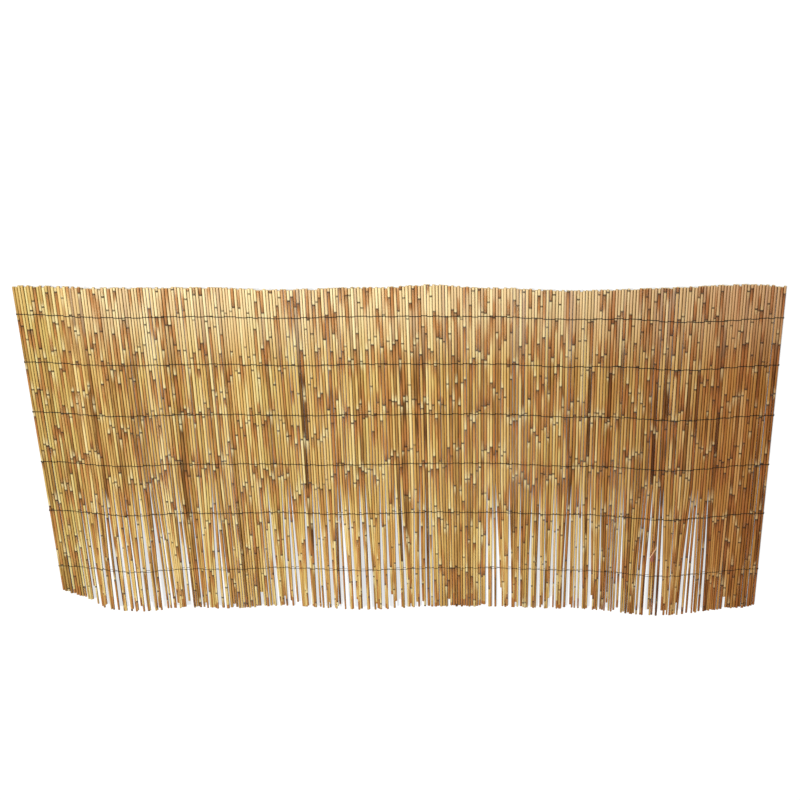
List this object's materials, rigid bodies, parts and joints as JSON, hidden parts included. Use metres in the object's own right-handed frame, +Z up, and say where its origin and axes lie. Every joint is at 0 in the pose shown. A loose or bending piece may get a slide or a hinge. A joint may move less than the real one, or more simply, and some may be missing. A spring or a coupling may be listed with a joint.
{
  "type": "reed screening mat",
  "caption": "Unrolled reed screening mat: tapered reeds side by side, bound in small bundles by rows of two thin wires that twist between them",
  "frame": {"origin": "Centre of the mat's footprint, on the floor that it lies on", "axes": "+X along the mat's length, across the reeds; +Y along the reeds, towards the picture's upper edge; +Z up, out of the face that the picture shows"},
  "size_m": [2.1134, 1.045, 0.055],
  "materials": {
    "reed": "dry natural reed cane, semi-gloss, golden yellow with brown leaf sheaths",
    "wire": "thin dark coated steel wire"
  },
  "bodies": {
    "root": {"reeds_01": "reed", "reeds_02": "reed", "reeds_03": "reed", "reeds_04": "reed", "reeds_05": "reed", "reeds_06": "reed", "reeds_07": "reed", "reeds_08": "reed", "reeds_09": "reed", "reeds_10": "reed", "reeds_11": "reed", "reeds_12": "reed", "wire_1_upper": "wire", "wire_1_lower": "wire", "wire_2_upper": "wire", "wire_2_lower": "wire", "wire_3_upper": "wire", "wire_3_lower": "wire", "wire_4_upper": "wire", "wire_4_lower": "wire", "wire_5_upper": "wire", "wire_5_lower": "wire", "wire_6_upper": "wire", "wire_6_lower": "wire"}
  },
  "joints": []
}
